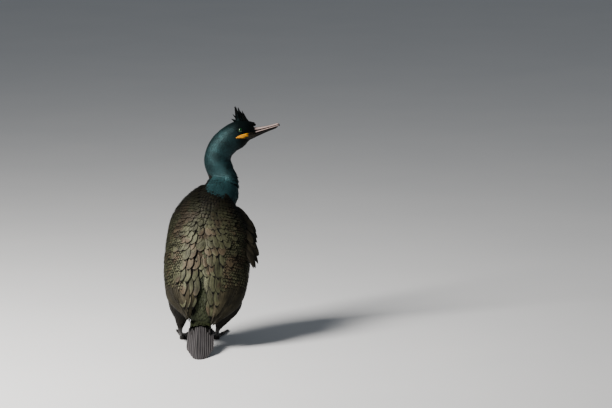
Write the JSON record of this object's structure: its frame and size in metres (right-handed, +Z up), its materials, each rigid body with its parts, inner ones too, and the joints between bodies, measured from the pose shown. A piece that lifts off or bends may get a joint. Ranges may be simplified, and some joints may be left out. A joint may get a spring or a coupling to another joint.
{
  "type": "standing cormorant model",
  "caption": "Life-size model of a crested cormorant (shag) standing upright on webbed feet and tail, head turned to its right.",
  "frame": {"origin": "middle of the underside of the model's box, on the floor", "axes": "+X to the bird's right, +Y the way its breast faces, +Z up"},
  "size_m": [0.2608, 0.3198, 0.5162],
  "materials": {
    "plumage": "satin feathers",
    "neck_plumage": "glossy oily green feathers",
    "flight_feather": "satin vanes with dark borders",
    "bill": "worn horn",
    "gape_skin": "soft bare skin",
    "eye": "wet gloss",
    "leg_skin": "scaled skin",
    "claw": "polished horn"
  },
  "bodies": {
    "root": {"bill_lower": "bill", "bill_upper": "bill", "claw_left_hind": "claw", "claw_left_inner": "claw", "claw_left_middle": "claw", "claw_left_outer": "claw", "claw_right_hind": "claw", "claw_right_inner": "claw", "claw_right_middle": "claw", "claw_right_outer": "claw", "crest": "neck_plumage", "eye_left": "eye", "eye_right": "eye", "foot_left": "leg_skin", "foot_right": "leg_skin", "gape_left": "gape_skin", "gape_right": "gape_skin", "head": "neck_plumage", "neck_lower": "neck_plumage", "neck_upper": "neck_plumage", "tail": "flight_feather", "tarsus_left": "leg_skin", "tarsus_right": "leg_skin", "thigh_left": "plumage", "thigh_right": "plumage", "torso": "plumage", "wing_left": "flight_feather", "wing_right": "flight_feather"}
  },
  "joints": []
}
